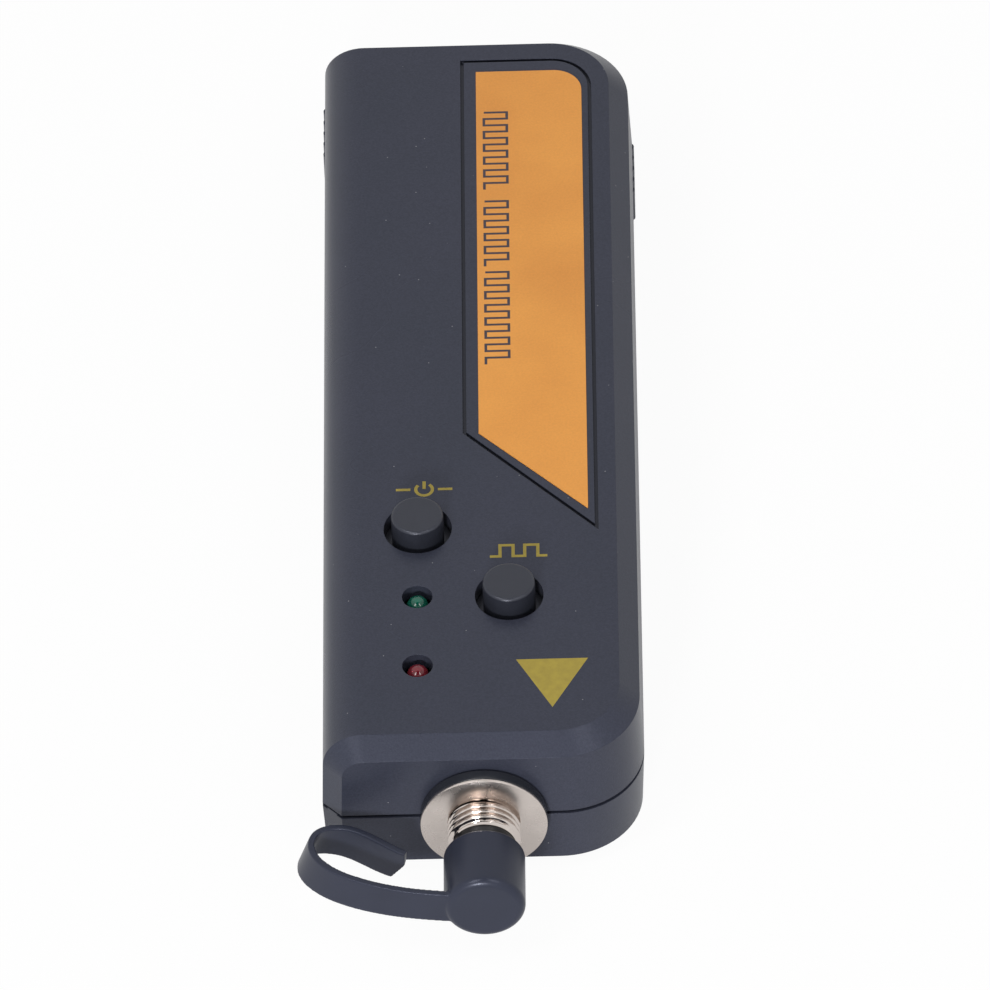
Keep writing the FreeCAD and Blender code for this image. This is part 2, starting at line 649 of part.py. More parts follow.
# The strap's middle line in plan, as (x, distance in front of the housing): it leaves the cap's end,
# loops round to the left and comes back with a free end. The lower edge swings a little wider.
STRAP_TOP = [(-3.5, 17.0), (-11.4, 15.8), (-17.5, 13.7), (-21.6, 11.0), (-23.4, 7.4), (-22.7, 5.1),
             (-20.2, 4.1), (-15.7, 5.7), (-10.6, 9.25)]
STRAP_FOOT = [(-3.5, 17.0), (-11.5, 15.9), (-17.6, 14.1), (-22.5, 11.3), (-25.1, 7.1), (-24.4, 4.6),
              (-21.4, 3.9), (-15.9, 6.5), (-10.9, 8.9)]


def strap_outline(middle, level):
    """The closed outline of the strap at one level: two smooth sides half a thickness off the line."""
    front = value(FRONT)
    half = value("strap_thickness") / 2
    points = [FreeCAD.Vector(across, front - ahead, level) for across, ahead in middle]
    line = Part.BSplineCurve()
    line.interpolate(points)
    sides = []
    for sign in (1, -1):
        offset = []
        for point in points:
            along = line.tangent(line.parameter(point))[0]
            offset.append(point + FreeCAD.Vector(-along.y, along.x, 0) * (half * sign))
        side = Part.BSplineCurve()
        side.interpolate(offset)
        sides.append(side.toShape())
    inner, outer = sides
    start = Part.makeLine(inner.Vertexes[0].Point, outer.Vertexes[0].Point)
    finish = Part.makeLine(inner.Vertexes[-1].Point, outer.Vertexes[-1].Point)
    return Part.Wire([start, outer, finish, inner])


def make_strap():
    """The strap is lofted from its lower outline to its upper one, and its free end is clipped."""
    axis = value("lower_height")
    half = value("strap_width") / 2
    outlines = [strap_outline(STRAP_FOOT, axis - half), strap_outline(STRAP_TOP, axis + half)]
    band = Part.makeLoft(outlines, True, True)
    across, ahead = STRAP_FOOT[-1]
    low = axis - half - value("clip_overlap")
    high = axis - half + value("clip_height")
    near_side, far_side = across - value("clip_width"), across + value("clip_past")
    face = value(FRONT) - ahead - value("clip_reach")
    corners = [(near_side, low), (far_side, low), (far_side, high), (near_side, low)]
    clip = Part.makePolygon([FreeCAD.Vector(side, face, level) for side, level in corners])
    wedge = Part.Face(clip).extrude(FreeCAD.Vector(0, 2 * value("clip_reach"), 0))
    strap = doc.addObject("Part::Feature", "strap")
    strap.Shape = band.cut(wedge)
    return strap


def make_dust_cap():
    """A round rubber cap that pushes over the guide, in one moulding with its strap."""
    body = new_body("cap_shell")
    inside = "guide_radius + cap_play"
    revolve(body, add_polygon(port_sketch(body), [
        ("-cap_end", "0"), ("-cap_end", "cap_radius"), ("-cap_mouth", "cap_radius"),
        ("-cap_mouth", inside), ("cap_wall - cap_end", inside), ("cap_wall - cap_end", "0")]))
    far = value(back("-cap_end"))
    mouth = value(back("-cap_mouth"))

    def rim(edge, place, radius):
        box = edge.BoundBox
        return box.YLength < 0.001 and abs(box.YMin - place) < 0.001 and box.ZLength > 1.9 * radius

    outside = value("cap_radius")
    round_edges(body, lambda edge: rim(edge, far, outside), "cap_edge")
    round_edges(body, lambda edge: rim(edge, mouth, outside), "cap_edge / 4")
    cap = doc.addObject("Part::Fuse", "dust_cap")
    cap.Base = body
    cap.Tool = make_strap()
    cap.Label = "dust_cap"
    return cap


# ---- battery bay ---------------------------------------------------------------------------------

def make_tray():
    """An open-bottomed box for two cells side by side, with ledges outside that carry the cover."""
    body = new_body("battery_tray")
    block = sketch_on(body, "XY_Plane", lift="tray_foot")
    add_box(block, "-tray_half_width", back("tray_front"), "tray_half_width", back("tray_rear"))
    pad(body, block, "tray_top - tray_foot")
    bays = sketch_on(body, "XY_Plane", lift="tray_foot")
    ends = (back("(tray_front + tray_wall)"), back("(tray_rear - tray_wall)"))
    add_box(bays, "tray_rib / 2", ends[0], "tray_half_width - tray_wall", ends[1])
    add_box(bays, "tray_wall - tray_half_width", ends[0], "-tray_rib / 2", ends[1])
    pocket(body, bays, "tray_top - tray_roof - tray_foot", up=True)
    heads = sketch_on(body, "XY_Plane", lift="tray_top - tray_roof")
    ways = sketch_on(body, "XY_Plane", lift="tray_top")
    for place in tray_posts():
        add_circle(heads, place, "small_head_radius + rail_gap")
        add_circle(ways, place, "small_screw_radius + rail_gap")
    pocket(body, heads, "tray_top - tray_roof - tray_foot")
    pocket(body, ways, "tray_roof")
    link = sketch_on(body, "XY_Plane", lift="tray_top - tray_roof")
    add_box(link, "-tray_rib", back("(tray_rear - tray_wall - contact_thickness - rail_gap)"),
            "tray_rib", ends[1])
    pocket(body, link, "tray_top - tray_roof - tray_foot")
    slots = sketch_on(body, "XY_Plane", lift="board_top - rail_gap")
    for side in ("", "-"):
        add_box(slots, side + "cell_x - contact_tab / 2 - rail_gap", back("(tray_front - tray_wall)"),
                side + "cell_x + contact_tab / 2 + rail_gap", ends[0])
    pocket(body, slots, "contact_thickness + 2 * rail_gap", up=True)
    ledges = sketch_on(body, "XY_Plane", lift="ledge_height")
    for inner, outer in (("tray_half_width - tray_wall / 2", "tray_half_width + ledge_width"),
                         ("-tray_half_width - ledge_width", "tray_wall / 2 - tray_half_width")):
        add_box(ledges, inner, back("(cover_seam + seam_gap)"), outer, back("ledge_rear"))
    pad(body, ledges, "ledge_thickness")
    return body


def make_cell(label, side, nub_back):
    """A cell lies along Y: a can and, at the end that meets a flat contact, its nub."""
    body = new_body(label)
    inner_front = "(tray_front + tray_wall + contact_thickness)"
    inner_rear = "(tray_rear - tray_wall - contact_thickness)"
    can = "(cell_length - nub_length)"
    if nub_back:
        start, nub_start = inner_rear + " - cell_length", inner_rear + " - nub_length"
    else:
        start, nub_start = inner_front + " + nub_length", inner_front
    centre = (side + "cell_x", "cell_height")
    for begin, radius, length in ((start, "cell_radius", can), (nub_start, "nub_radius", "nub_length")):
        disc = sketch_on(body, "XZ_Plane", lift="housing_length / 2 - (%s)" % begin)
        pad(body, add_circle(disc, centre, radius), length, down=True)
        if radius == "cell_radius":
            bevel_edges(body, lambda edge: edge.BoundBox.YLength < 0.001, "key_edge")
    return body


def contact_plate(body, side, width, at_front):
    """The flat part of a contact, on the inside of the tray's front or rear wall."""
    if at_front:
        lift = "housing_length / 2 - tray_front - tray_wall"
    else:
        lift = "housing_length / 2 - tray_rear + tray_wall"
    plate = sketch_on(body, "XZ_Plane", lift=lift)
    middle = side + "cell_x" if side is not None else "0"
    add_box(plate, "%s - %s / 2" % (middle, width), "cell_height - contact_size / 2",
            "%s + %s / 2" % (middle, width), "cell_height + contact_size / 2")
    pad(body, plate, "contact_thickness", down=at_front)


def add_leaf(body, side, at_front):
    """A sprung leaf in one piece with its plate, bowed out to press on the cell's flat end."""
    if at_front:
        sign, foot = "1", "(tray_front + tray_wall + contact_thickness)"
    else:
        sign, foot = "-1", "(tray_rear - tray_wall - contact_thickness)"
    bow = "(tray_rear - tray_front - 2 * tray_wall - 2 * contact_thickness - cell_length)"
    profile = [("0", "-leaf_reach"), (bow, "-leaf_crown"), (bow, "leaf_crown"),
               ("leaf_lip", "leaf_reach"), ("leaf_lip - leaf_thickness", "leaf_reach"),
               ("%s - leaf_thickness" % bow, "leaf_crown - leaf_thickness"),
               ("%s - leaf_thickness" % bow, "leaf_thickness - leaf_crown"),
               ("0", "2 * leaf_thickness - leaf_reach")]
    leaf = sketch_on(body, "YZ_Plane", across=back(foot), up="cell_height", lift=side + "cell_x")
    add_polygon(leaf, [("%s * (%s)" % (sign, along), height) for along, height in profile])
    pad(body, leaf, "leaf_width", both=True)


def make_contacts():
    """A plain contact, one with a leaf, and the plate with a leaf that links the two cells behind.
    The front pair have tabs bent forward onto the board."""
    plain, sprung, link = (new_body(label) for label in ("left_contact", "right_contact", "link_plate"))
    for body, side in ((plain, "-"), (sprung, "")):
        contact_plate(body, side, "contact_size", at_front=True)
        tab = sketch_on(body, "XY_Plane", lift="board_top")
        add_box(tab, side + "cell_x - contact_tab / 2", back("(board_rear - contact_tab)"),
                side + "cell_x + contact_tab / 2", back("(tray_front + tray_wall + contact_thickness)"))
        pad(body, tab, "contact_thickness")
    add_leaf(sprung, "", at_front=True)
    contact_plate(link, None, "link_width", at_front=False)
    add_leaf(link, "-", at_front=False)
    return [plain, sprung, link]


# ---- small parts that come in sets ---------------------------------------------------------------

# A screw's point and its cross slot, as shares of the shank's and the head's radius.
POINT_RADIUS, SLOT_LENGTH, SLOT_WIDTH = 0.3, 1.2, 0.25


def screw_shape(head_radius, head_height, shank_radius, length):
    """A pan-head screw standing on its head: head below z = 0, shank above, cross slot underneath."""
    head = Part.makeCylinder(head_radius, head_height, FreeCAD.Vector(0, 0, -head_height))
    shank = Part.makeCylinder(shank_radius, length - shank_radius)
    point = Part.makeCone(shank_radius, POINT_RADIUS * shank_radius, shank_radius,
                          FreeCAD.Vector(0, 0, length - shank_radius))
    solid = head.fuse([shank, point])
    reach, slot = SLOT_LENGTH * head_radius, SLOT_WIDTH * head_radius
    for size_x, size_y in ((reach, slot), (slot, reach)):
        corner = FreeCAD.Vector(-size_x / 2, -size_y / 2, -head_height)
        solid = solid.cut(Part.makeBox(size_x, size_y, head_height / 2, corner))
    return solid.removeSplitter()


def make_screws(label, places, level, head_radius, head_height, shank_radius, length):
    screw = screw_shape(value(head_radius), value(head_height), value(shank_radius), value(length))
    copies = []
    for across, along in places:
        where = FreeCAD.Vector(value(across), value(along), value(level))
        copies.append(screw.translated(where))
    group = doc.addObject("Part::Feature", label)
    group.Shape = Part.makeCompound(copies)
    group.Label = label
    return group


def make_chip_parts():
    """Two rows of chip resistors and capacitors on the underside of the board."""
    length, width, height = (value("chip_part_" + size) for size in ("length", "width", "height"))
    level = value("board_top - board_thickness") - height
    blocks = []
    for row in ("-chip_part_x", "chip_part_x"):
        for step in range(4):
            along = value(back("(chip_part_y + %d * chip_part_pitch)" % step))
            corner = FreeCAD.Vector(value(row) - length / 2, along, level)
            blocks.append(Part.makeBox(length, width, height, corner))
    group = doc.addObject("Part::Feature", "chip_parts")
    group.Shape = Part.makeCompound(blocks)
    group.Label = "chip_parts"
    return group


# ---- the whole -----------------------------------------------------------------------------------

def make_all():
    power = ("power_key_x", back("power_key_y"))
    mode = ("mode_key_x", back("mode_key_y"))
    parts = [make_top_shell(), make_bottom_shell(), make_battery_cover(), make_label()]
    for name, place in (("power", power), ("mode", mode)):
        parts.append(make_key(name + "_key", place))
        parts.append(make_switch_body(name + "_switch_body", place))
        parts.append(make_stem(name + "_switch_stem", place))
    parts.append(make_led("power_led", ("led_x", back("power_led_y"))))
    parts.append(make_led("battery_led", ("led_x", back("battery_led_y"))))
    parts += [make_board(), make_driver_chip(), make_chip_parts()]
    parts += make_port() + [make_nut()] + make_laser() + [make_lens(), make_dust_cap()]
    parts += [make_tray(), make_cell("left_cell", "-", nub_back=False),
              make_cell("right_cell", "", nub_back=True),
              *make_contacts()]
    parts.append(make_screws("housing_screws", four_posts(), "head_sink", "head_radius", "head_height",
                             "screw_radius", "screw_length"))
    parts.append(make_screws("board_screws", board_posts(), "board_top - board_thickness",
                             "small_head_radius", "small_head_height", "small_screw_radius",
                             "small_screw_length"))
    parts.append(make_screws("tray_screws", tray_posts(), "tray_top - tray_roof", "small_head_radius",
                             "small_head_height", "small_screw_radius",
                             "tray_roof + (" + CEILING + " - tray_top)"))
    return parts


def check_and_write(parts):
    doc.recompute()
    for item in doc.Objects:
        if {"Invalid", "Error"} & set(item.State):
            raise RuntimeError("%s failed: %s" % (item.Label, item.State))
    for part in parts:
        if part.Shape.isNull() or not part.Shape.isValid() or not part.Shape.Solids:
            raise RuntimeError(part.Label + " has no sound solid")
    os.makedirs("parts", exist_ok=True)
    for part in parts:
        part.Shape.exportStep("parts/%s.step" % part.Label)
        print("%-22s %d solid(s) %10.2f mm3" % (part.Label, len(part.Shape.Solids), part.Shape.Volume))


fill_sheet()
check_and_write(make_all())
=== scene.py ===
import bpy
import bmesh
import math
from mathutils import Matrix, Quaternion, Vector


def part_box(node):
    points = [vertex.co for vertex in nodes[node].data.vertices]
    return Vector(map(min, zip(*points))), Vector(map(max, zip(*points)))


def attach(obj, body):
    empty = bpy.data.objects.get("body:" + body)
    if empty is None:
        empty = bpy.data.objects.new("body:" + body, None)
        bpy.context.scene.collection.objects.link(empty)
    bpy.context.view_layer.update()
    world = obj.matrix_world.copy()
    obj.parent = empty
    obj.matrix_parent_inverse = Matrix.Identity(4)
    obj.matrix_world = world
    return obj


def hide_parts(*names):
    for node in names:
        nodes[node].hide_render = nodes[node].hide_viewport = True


# A visual fault locator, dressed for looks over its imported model. Metres throughout: the origin is the
# middle of the flat underside, the nose with the port points along -Y and the keys face +Z.

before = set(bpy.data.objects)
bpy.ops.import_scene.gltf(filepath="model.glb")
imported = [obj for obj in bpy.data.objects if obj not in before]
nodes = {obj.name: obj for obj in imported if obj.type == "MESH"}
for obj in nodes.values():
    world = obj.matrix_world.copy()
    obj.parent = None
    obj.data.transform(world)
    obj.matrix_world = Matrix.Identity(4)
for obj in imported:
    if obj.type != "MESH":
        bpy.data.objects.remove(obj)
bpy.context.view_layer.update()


# ---- Housing: top shell, bottom shell and battery cover ------------------------------------------
# Two injection mouldings and a slide-off cover, all in charcoal ABS. The halves meet along a shadow
# gap at the height of the port and are screwed together from below; the cover slides off rearwards.

MM = 0.001


def linear(code):
    """An sRGB hex colour as the linear RGBA that shaders work in."""
    parts = [int(code[place:place + 2], 16) / 255 for place in (1, 3, 5)]
    return [part / 12.92 if part <= 0.04045 else ((part + 0.055) / 1.055) ** 2.4 for part in parts] + [1]


def add(tree, kind, settings=(), links=()):
    """Adds a shader node, sets its properties and then its sockets, and links other sockets into it."""
    made = tree.nodes.new("ShaderNode" + kind)
    for name, setting in dict(settings).items():
        if isinstance(name, str) and name not in made.inputs:
            setattr(made, name, setting)
    for name, setting in dict(settings).items():
        if not isinstance(name, str) or name in made.inputs:
            made.inputs[name].default_value = setting
    for name, socket in dict(links).items():
        tree.links.new(socket, made.inputs[name])
    return made


def start_material(name, settings):
    """A new material: its node tree, its main shader, and the piece's own coordinates in metres."""
    made = bpy.data.materials.new(name)
    made.use_nodes = True
    tree = made.node_tree
    tree.nodes.clear()
    shader = add(tree, "BsdfPrincipled", settings)
    add(tree, "OutputMaterial", links={"Surface": shader.outputs["BSDF"]})
    return made, tree, shader, add(tree, "TexCoord").outputs["Object"]


def drift(tree, place, size, least, most, detail=3.0, swing=0.5):
    """A value that wanders between two ends in soft patches of about this size. The smaller the
    swing, which is how far the noise goes from its middle, the more of the surface is at an end."""
    noise = add(tree, "TexNoise", {"Scale": 1 / size, "Detail": detail}, {"Vector": place})
    ends = add(tree, "MapRange", {"From Min": 0.5 - swing, "From Max": 0.5 + swing,
                                  "To Min": least, "To Max": most}, {"Value": noise.outputs["Fac"]})
    return ends.outputs["Result"]


def mottle(tree, shader, place, tones, size):
    """Lets the base colour drift between two close tones in soft patches of about this size."""
    light, dark = tones
    tone = add(tree, "Mix", {"data_type": "RGBA", 6: linear(light), 7: linear(dark)},
               {0: drift(tree, place, size, 0.0, 1.0, swing=0.25)})
    tree.links.new(tone.outputs[2], shader.inputs["Base Color"])
    return tone.outputs[2]


def grain_tone(tree, place, tone, size, amount):
    """A tone made lighter and darker by up to this share from one fine grain to the next."""
    shade = drift(tree, place, size, 1 - amount, 1 + amount, detail=2.0, swing=0.2)
    return add(tree, "VectorMath", {"operation": "SCALE"}, {0: tone, "Scale": shade}).outputs["Vector"]


def roughen(tree, shader, place, size, depth, edge=0.0):
    """Fine grain as bump, over edges that are broken by a small radius where one is given."""
    grain = add(tree, "TexNoise", {"Scale": 1 / size, "Detail": 2.0}, {"Vector": place})
    bump = add(tree, "Bump", {"Strength": 1.0, "Distance": depth}, {"Height": grain.outputs["Fac"]})
    if edge:
        broken = add(tree, "Bevel", {"samples": 4, "Radius": edge})
        tree.links.new(broken.outputs["Normal"], bump.inputs["Normal"])
    tree.links.new(bump.outputs["Normal"], shader.inputs["Normal"])


def dress(names, material):
    """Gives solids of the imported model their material."""
    for name in names:
        mesh = nodes[name].data
        mesh.materials.clear()
        mesh.materials.append(material)


# ABS, moulded against a spark-eroded steel surface: a fine even matt grain, about 0.1 mm on the real
# thing and drawn at 0.2 mm in bump and 0.28 mm in tone to show. Handling has polished it in patches.
abs_moulded, tree, shader, place = start_material("abs_spark_eroded", {
    "IOR": 1.54, "Specular IOR Level": 0.3, "Specular Tint": linear("#E6EAFF")})
tone = mottle(tree, shader, place, ("#2F323D", "#333541"), 18 * MM)
grained = grain_tone(tree, place, tone, 0.28 * MM, 0.14)

# The engraved line round the label has painted shade: its inside is drawn darker, as the narrow groove
# shades it. The box that finds it reaches from just under the deck to just under the line's floor, and
# nothing else of the shell's outside lies in it.
label_low, label_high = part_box("orange_label")
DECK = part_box("top_shell")[1].z
line_low = Vector((label_low.x - 2.5 * MM, label_low.y - 4.4 * MM, DECK - 0.7 * MM))
line_high = Vector((label_high.x + 1.8 * MM, label_high.y + 3.0 * MM, DECK - 0.08 * MM))
LINE_BLUR, LINE_SHADE = 0.03 * MM, 0.75
offset = add(tree, "VectorMath", {"operation": "SUBTRACT", 1: (line_low + line_high) / 2}, {0: place})
span = add(tree, "VectorMath", {"operation": "ABSOLUTE"}, {0: offset.outputs["Vector"]})
past = add(tree, "VectorMath", {"operation": "SUBTRACT", 1: (line_high - line_low) / 2},
           {0: span.outputs["Vector"]})
past_each = add(tree, "SeparateXYZ", links={"Vector": past.outputs["Vector"]})
past_side = add(tree, "Math", {"operation": "MAXIMUM"},
                {0: past_each.outputs["X"], 1: past_each.outputs["Y"]})
past_any = add(tree, "Math", {"operation": "MAXIMUM"},
               {0: past_side.outputs["Value"], 1: past_each.outputs["Z"]})
# Painted shade: inside the box the colour darkens towards near-black by LINE_SHADE, fading in over a
# hair at the box's walls.
painted_groove_shade = add(tree, "MapRange", {"From Min": LINE_BLUR, "From Max": -LINE_BLUR, "To Max": LINE_SHADE},
            {"Value": past_any.outputs["Value"]})
lined = add(tree, "Mix", {"data_type": "RGBA", 7: linear("#0C0D11")},
            {0: painted_groove_shade.outputs["Result"], 6: grained})

# A few specks of pale dust, up to 0.2 mm wide. One shows wherever the point of a cell lies in the
# surface, and its size is a share of the cell's.
DUST_CELL, SPECK, SPECK_RIM = 2.6 * MM, 0.02, 0.04
dust = add(tree, "TexVoronoi", {"Scale": 1 / DUST_CELL}, {"Vector": place})
speck = add(tree, "MapRange", {"From Min": SPECK_RIM, "From Max": SPECK},
            {"Value": dust.outputs["Distance"]})
dusty = add(tree, "Mix", {"data_type": "RGBA", 7: linear("#8E8E92")},
            {0: speck.outputs["Result"], 6: lined.outputs[2]})
tree.links.new(dusty.outputs[2], shader.inputs["Base Color"])
tree.links.new(drift(tree, place, 25 * MM, 0.25, 0.31, detail=2.0), shader.inputs["Roughness"])
roughen(tree, shader, place, 0.2 * MM, 0.02 * MM, edge=0.12 * MM)
dress(["top_shell", "bottom_shell", "battery_cover"], abs_moulded)


# ---- Label in the engraved panel ------------------------------------------------------------------
# A die-cut piece of polycarbonate film, printed orange on its back and stuck down with its own
# adhesive. Its long mark, three bursts of a plain square wave, is printed in dark ink along one side.

# Satin film over back print: a soft gloss, and an orange that deepens where its ink lies thicker. The
# film's own grain is finer than 0.1 mm and is drawn at 0.3 mm to show.
film, tree, shader, place = start_material("polycarbonate_film_satin", {"IOR": 1.58, "Roughness": 0.42})
tone = mottle(tree, shader, place, ("#EBA045", "#D98E38"), 16 * MM)
tree.links.new(grain_tone(tree, place, tone, 0.3 * MM, 0.04), shader.inputs["Base Color"])
roughen(tree, shader, place, 0.35 * MM, 0.004 * MM)
dress(["orange_label"], film)


def plain_material(name, settings, tones, patch, grain, depth, edge=0.0):
    """A whole material that needs no more than two close tones in patches under a fine grain."""
    made, tree, shader, place = start_material(name, settings)
    mottle(tree, shader, place, tones, patch)
    roughen(tree, shader, place, grain, depth, edge)
    return made


def stroke(points, width, mitre_limit=0.3):
    """The closed outline of a printed line of this width that follows the points. The limit holds
    back the corner of a sharp bend."""
    sides = ([], [])
    for index, point in enumerate(points):
        before = points[max(index - 1, 0)]
        after = points[min(index + 1, len(points) - 1)]
        legs = [Vector(end) - Vector(start) for start, end in ((before, point), (point, after))]
        legs = [leg.normalized() for leg in legs if leg.length > 0]
        across = sum((Vector((-leg.y, leg.x)) for leg in legs), Vector((0, 0))).normalized()
        reach = width / 2 / max(mitre_limit, across.dot(Vector((-legs[0].y, legs[0].x))))
        for side, sign in zip(sides, (1, -1)):
            side.append(tuple(Vector(point) + across * (reach * sign)))
    return sides[0] + sides[1][::-1]


def make_object(name, mesh, material):
    """Turns finished bmesh work into an object of the scene, in this material."""
    data = bpy.data.meshes.new(name)
    mesh.to_mesh(data)
    mesh.free()
    data.materials.append(material)
    made = bpy.data.objects.new(name, data)
    bpy.context.collection.objects.link(made)
    return made


def printed(name, outlines, level, thickness, material, body):
    """Ink of a real thickness on the face at this level, one closed outline at a time, in mm."""
    mesh = bmesh.new()
    for outline in outlines:
        low = [mesh.verts.new((x * MM, y * MM, level)) for x, y in outline]
        high = [mesh.verts.new((x * MM, y * MM, level + thickness)) for x, y in outline]
        for index in range(len(outline)):
            after = (index + 1) % len(outline)
            mesh.faces.new((low[index], low[after], high[after], high[index]))
        mesh.faces.new(low[::-1])
        mesh.faces.new(high)
    bmesh.ops.recalc_face_normals(mesh, faces=mesh.faces)
    bmesh.ops.triangulate(mesh, faces=[face for face in mesh.faces if len(face.verts) > 4])
    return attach(make_object(name, mesh, material), body)


# Screen ink: a dry dark film with a slightly uneven tone. Its outlines are laid out in millimetres.
# Each burst has a place behind the housing's front face and a number of periods.
dark_ink = plain_material("screen_ink_dark", {"Roughness": 0.5}, ("#2B2630", "#38303A"),
                          patch=0.6 * MM, grain=0.15 * MM, depth=0.004 * MM)
FRONT_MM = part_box("top_shell")[0].y / MM
INK = 0.012 * MM
WAVE_LEFT, WAVE_RIGHT, PERIOD, WAVE_LINE = 1.1, 4.35, 2.6, 0.38
bursts = []
for start, count in ((123.6, 6), (105.6, 5), (91.4, 7)):
    wave = [(WAVE_LEFT, FRONT_MM + start)]
    for step in range(count):
        rear = FRONT_MM + start - step * PERIOD
        wave += [(WAVE_RIGHT, rear), (WAVE_RIGHT, rear - PERIOD / 2), (WAVE_LEFT, rear - PERIOD / 2),
                 (WAVE_LEFT, rear - PERIOD)]
    bursts.append(stroke(wave, WAVE_LINE))
pulse_train = printed("label_pulse_train", bursts, label_high.z, INK, dark_ink, "housing")


# ---- Marks on the deck ----------------------------------------------------------------------------
# Pad-printed in mustard yellow straight onto the ABS: a plain triangle by the nose, a ring and bar
# between two dashes over the power key and a short square wave over the mode key.

# Pad print: a thin matt ink that picks up the plastic's grain and is a little patchy.
yellow_ink = plain_material("pad_print_yellow", {"Roughness": 0.5}, ("#A8953A", "#988636"),
                            patch=0.9 * MM, grain=0.15 * MM, depth=0.004 * MM)
SIGN_LINE = 0.45
RING_X, RING_Y, RING_RADIUS = -7.6, FRONT_MM + 49.3, 1.15
RING_STARTS, RING_ENDS, RING_STEP = 38, 323, 12
BAR_FOOT, BAR_HEAD, DASH_NEAR, DASH_FAR = 0.1, 1.55, 1.9, 3.9
ring = [(RING_X + RING_RADIUS * math.sin(math.radians(turn)),
         RING_Y + RING_RADIUS * math.cos(math.radians(turn)))
        for turn in range(RING_STARTS, RING_ENDS, RING_STEP)]
marks = [stroke(ring, SIGN_LINE),
         stroke([(RING_X, RING_Y + BAR_FOOT), (RING_X, RING_Y + BAR_HEAD)], SIGN_LINE),
         stroke([(RING_X - DASH_FAR, RING_Y), (RING_X - DASH_NEAR, RING_Y)], SIGN_LINE),
         stroke([(RING_X + DASH_NEAR, RING_Y), (RING_X + DASH_FAR, RING_Y)], SIGN_LINE)]
PULSE_X, PULSE_Y, PULSE_HEIGHT, PULSE_END = 1.4, FRONT_MM + 36.1, 2.1, 7.9
pulse = [(PULSE_X, PULSE_Y)]
for rise, fall in ((1.4, 3.2), (4.8, 6.6)):
    pulse += [(PULSE_X + rise, PULSE_Y), (PULSE_X + rise, PULSE_Y + PULSE_HEIGHT),
              (PULSE_X + fall, PULSE_Y + PULSE_HEIGHT), (PULSE_X + fall, PULSE_Y)]
pulse.append((PULSE_X + PULSE_END, PULSE_Y))
marks.append(stroke(pulse, SIGN_LINE))
TRIANGLE = ((4.84, 16.5), (9.73, 7.44), (14.66, 16.5))
marks.append([(x, FRONT_MM + y) for x, y in TRIANGLE])
yellow_marks = printed("yellow_marks", marks, DECK, INK, yellow_ink, "housing")


# ---- Power key and mode key -----------------------------------------------------------------------
# Two round push caps in black ABS, each pressed onto the square stem of a latching switch. The faces
# are matt, and the rounded upper edge of each catches the light.

# Matt moulded ABS: a dull, nearly even grey-black with soft highlights.
key_plastic = plain_material(
    "abs_matt_moulded", {"IOR": 1.5, "Specular Tint": linear("#EDF0FF"), "Roughness": 0.36},
    ("#22242B", "#262830"), patch=3 * MM, grain=0.16 * MM, depth=0.01 * MM)
dress(["power_key", "mode_key"], key_plastic)

# The switches' nylon bodies are a duller black, and their stems of unfilled acetal a waxy white.
switch_plastic = plain_material("nylon_moulded_black", {"Roughness": 0.38}, ("#1B1B1D", "#242426"),
                                patch=2 * MM, grain=0.1 * MM, depth=0.004 * MM)
dress(["power_switch_body", "mode_switch_body"], switch_plastic)
stem_plastic = plain_material("acetal_moulded_natural", {"Roughness": 0.35}, ("#D8D3C5", "#CCC6B6"),
                              patch=1.5 * MM, grain=0.1 * MM, depth=0.003 * MM)
dress(["power_switch_stem", "mode_switch_stem"], stem_plastic)


# ---- Indicator lamps ------------------------------------------------------------------------------
# Two 3 mm lamps, cast in tinted clear epoxy round a pair of plated posts. One post carries the cup
# that the chip sits in. They stand a little below the deck in their holes.

def turned(name, profile, centre, along, material, body, segments, radius_at=None, sharp=32):
    """A closed profile of (place along the axis, radius) in metres, turned once round the axis. An
    edge that bends by more degrees than sharp stays crisp."""
    mesh = bmesh.new()
    rings = []
    for distance, radius in profile:
        ring = []
        for index in range(segments if radius > 0 else 1):
            angle = 2 * math.pi * index / segments
            reach = radius_at(distance, radius, angle) if radius_at else radius
            off = (reach * math.cos(angle), reach * math.sin(angle))
            spot = (off[0], off[1], distance) if along == "Z" else (off[0], distance, off[1])
            ring.append(mesh.verts.new(Vector(centre) + Vector(spot)))
        rings.append(ring)
    for ring, onward in zip(rings, rings[1:] + rings[:1]):
        for index in range(segments):
            after = (index + 1) % segments
            corners = [ring[index % len(ring)], ring[after % len(ring)], onward[after % len(onward)],
                       onward[index % len(onward)]]
            kept = list(dict.fromkeys(corners))
            if len(kept) > 2:
                mesh.faces.new(kept)
    bmesh.ops.recalc_face_normals(mesh, faces=mesh.faces)
    made = make_object(name, mesh, material)
    for face in made.data.polygons:
        face.use_smooth = True
    made.data.set_sharp_from_angle(angle=math.radians(sharp))
    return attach(made, body)


def block(mesh, low, high):
    """Adds a box between two corners."""
    made = bmesh.ops.create_cube(mesh, size=1)["verts"]
    for corner in made:
        corner.co = [near + (part + 0.5) * (far - near) for near, far, part in zip(low, high, corner.co)]


# Tinned steel: bright and slightly cloudy. The boxes that make up the posts and the cup are in mm from
# the lamp's axis and its top: half a width, front and rear, foot and head. Where the foot is None, the
# box stands on the lead's own end.
lead_plate = plain_material("steel_tinned_bright", {"Metallic": 1.0, "Roughness": 0.22},
                            ("#D2D2CE", "#BDBDB8"), patch=0.8 * MM, grain=0.08 * MM, depth=0.001 * MM)
POST_BOXES = ((0.25, -1.52, -1.02, None, -3.4), (0.25, 1.02, 1.52, None, -3.4),
              (0.25, -1.1, -0.75, -4.0, -1.7), (0.25, -0.55, 1.1, -4.0, -2.9),
              (0.45, -0.5, 0.4, -2.9, -2.2))

